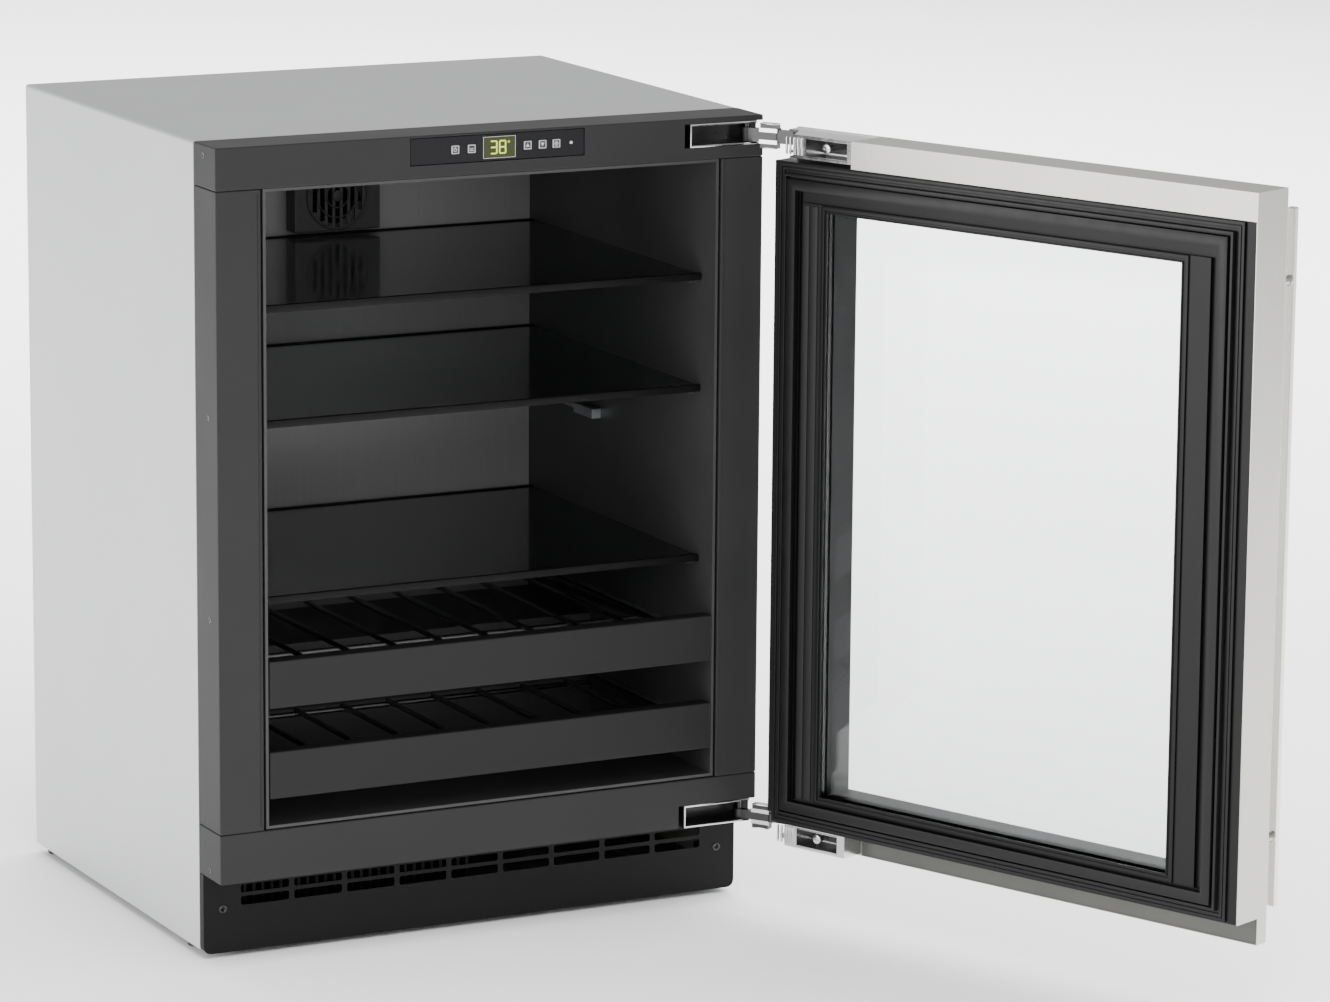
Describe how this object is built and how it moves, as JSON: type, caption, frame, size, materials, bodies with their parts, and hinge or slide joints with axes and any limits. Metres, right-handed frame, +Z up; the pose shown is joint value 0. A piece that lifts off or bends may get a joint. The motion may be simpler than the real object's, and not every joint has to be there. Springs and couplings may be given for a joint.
{
  "type": "undercounter refrigerator",
  "caption": "Built-in undercounter cooler with a framed glass door on knuckle hinges, glass shelves, roll-out racks, a control strip and a machine bay below.",
  "frame": {"origin": "centre of the base pan's underside, midway between the sides and between the face frame's front and the back", "axes": "+Z up, +Y towards the back, so the door side faces -Y, and +X to the right of a person facing the door"},
  "size_m": [0.8996, 1.1244, 0.8375],
  "materials": {
    "case_paint": "light grey satin powder coat on sheet steel",
    "galvanised": "bare zinc-coated sheet steel",
    "frame_plastic": "satin charcoal moulding",
    "liner_plastic": "satin black vacuum-formed plastic",
    "foam": "rigid polyurethane foam",
    "black_steel": "black enamel",
    "black_plastic": "black moulded plastic",
    "panel_plastic": "smooth black overlay",
    "aluminium": "mill-finish fins",
    "lens": "tinted display window, yellow-green",
    "button_grey": "dark grey keys",
    "glass": "clear float glass",
    "chrome": "bright plated steel",
    "stainless": "brushed stainless steel, warm grey",
    "wire_steel": "plated steel rod",
    "fascia_paint": "satin charcoal enamel",
    "rubber": "soft black magnetic gasket"
  },
  "bodies": {
    "cabinet": {"case_wrapper": "case_paint", "back_panel": "galvanised", "base_pan": "galvanised", "toe_kick": "frame_plastic", "frame_top_rail": "frame_plastic", "frame_bottom_rail": "frame_plastic", "frame_left_stile": "frame_plastic", "frame_right_stile": "frame_plastic", "inner_liner": "liner_plastic", "insulation": "foam", "duct_cover": "liner_plastic", "fan_guard": "liner_plastic", "evaporator_fan_motor": "black_steel", "evaporator": "aluminium", "temperature_probe": "galvanised", "compressor": "black_steel", "drain_pan": "liner_plastic", "control_box": "galvanised", "condenser": "aluminium", "condenser_fan_motor": "black_steel", "power_inlet": "black_plastic", "control_housing": "panel_plastic", "display_lens": "lens", "status_led": "lens", "glass_shelf_1": "glass", "glass_shelf_2": "glass", "glass_shelf_3": "glass", "slide_rail_upper_left": "galvanised", "slide_rail_upper_right": "galvanised", "slide_rail_lower_left": "galvanised", "slide_rail_lower_right": "galvanised", "hinge_cup_upper": "chrome", "hinge_cup_lower": "chrome"},
    "evaporator_fan": {"evaporator_fan": "black_plastic"},
    "condenser_fan": {"condenser_fan": "black_plastic"},
    "button_1": {"button_1": "button_grey"},
    "button_2": {"button_2": "button_grey"},
    "button_3": {"button_3": "button_grey"},
    "button_4": {"button_4": "button_grey"},
    "button_5": {"button_5": "button_grey"},
    "foot_front_left": {"foot_front_left": "black_steel"},
    "foot_front_right": {"foot_front_right": "black_steel"},
    "foot_rear_left": {"foot_rear_left": "black_steel"},
    "foot_rear_right": {"foot_rear_right": "black_steel"},
    "hinge_arm_upper": {"hinge_arm_upper": "black_steel"},
    "hinge_arm_lower": {"hinge_arm_lower": "black_steel"},
    "rack_upper_body": {"rack_upper": "wire_steel", "rack_upper_fascia": "fascia_paint"},
    "rack_lower_body": {"rack_lower": "wire_steel", "rack_lower_fascia": "fascia_paint"},
    "door": {"door_skin": "stainless", "door_body": "liner_plastic", "door_gasket": "rubber", "glass_outer": "glass", "glass_inner": "glass", "hinge_bracket_upper": "chrome", "hinge_bracket_lower": "chrome", "handle_bar": "stainless", "handle_post_upper": "stainless", "handle_post_lower": "stainless"}
  },
  "joints": [
    {"name": "door_swing", "type": "hinge", "parent": "hinge_arm_lower", "child": "door", "pos_m": [0.32312, -0.29864, 0], "axis": [0, 0, 1], "range_deg": [-83.35, 0]},
    {"name": "hinge_arm_lower_swing", "type": "hinge", "parent": "cabinet", "child": "hinge_arm_lower", "pos_m": [0.29, -0.249, 0], "axis": [0, 0, 1], "range_deg": [-29.05, 0]},
    {"name": "hinge_arm_upper_swing", "type": "hinge", "parent": "cabinet", "child": "hinge_arm_upper", "pos_m": [0.29, -0.249, 0], "axis": [0, 0, 1], "range_deg": [-29.05, 0]},
    {"name": "rack_upper_slide", "type": "slide", "parent": "cabinet", "child": "rack_upper_body", "axis": [0, -1, 0], "range_m": [0, 0.2]},
    {"name": "rack_lower_slide", "type": "slide", "parent": "cabinet", "child": "rack_lower_body", "axis": [0, -1, 0], "range_m": [0, 0.2]},
    {"name": "button_1_press", "type": "slide", "parent": "cabinet", "child": "button_1", "axis": [0, 1, 0], "range_m": [0, 0.0008], "stiffness_N_per_m": 400},
    {"name": "button_2_press", "type": "slide", "parent": "cabinet", "child": "button_2", "axis": [0, 1, 0], "range_m": [0, 0.0008], "stiffness_N_per_m": 400},
    {"name": "button_3_press", "type": "slide", "parent": "cabinet", "child": "button_3", "axis": [0, 1, 0], "range_m": [0, 0.0008], "stiffness_N_per_m": 400},
    {"name": "button_4_press", "type": "slide", "parent": "cabinet", "child": "button_4", "axis": [0, 1, 0], "range_m": [0, 0.0008], "stiffness_N_per_m": 400},
    {"name": "button_5_press", "type": "slide", "parent": "cabinet", "child": "button_5", "axis": [0, 1, 0], "range_m": [0, 0.0008], "stiffness_N_per_m": 400},
    {"name": "evaporator_fan_spin", "type": "hinge", "parent": "cabinet", "child": "evaporator_fan", "pos_m": [0.01, 0.1688, 0.7045], "axis": [0, 1, 0], "continuous": true},
    {"name": "condenser_fan_spin", "type": "hinge", "parent": "cabinet", "child": "condenser_fan", "pos_m": [-0.12, -0.123, 0.04565], "axis": [0, 1, 0], "continuous": true},
    {"name": "foot_front_left_level", "type": "slide", "parent": "cabinet", "child": "foot_front_left", "axis": [0, 0, -1], "range_m": [0, 0.025]},
    {"name": "foot_front_right_level", "type": "slide", "parent": "cabinet", "child": "foot_front_right", "axis": [0, 0, -1], "range_m": [0, 0.025]},
    {"name": "foot_rear_left_level", "type": "slide", "parent": "cabinet", "child": "foot_rear_left", "axis": [0, 0, -1], "range_m": [0, 0.025]},
    {"name": "foot_rear_right_level", "type": "slide", "parent": "cabinet", "child": "foot_rear_right", "axis": [0, 0, -1], "range_m": [0, 0.025]}
  ],
  "couplings": [
    {"joint": "hinge_arm_lower_swing", "follows": "door_swing", "ratio": 0.34827},
    {"joint": "hinge_arm_upper_swing", "follows": "door_swing", "ratio": 0.34827}
  ]
}
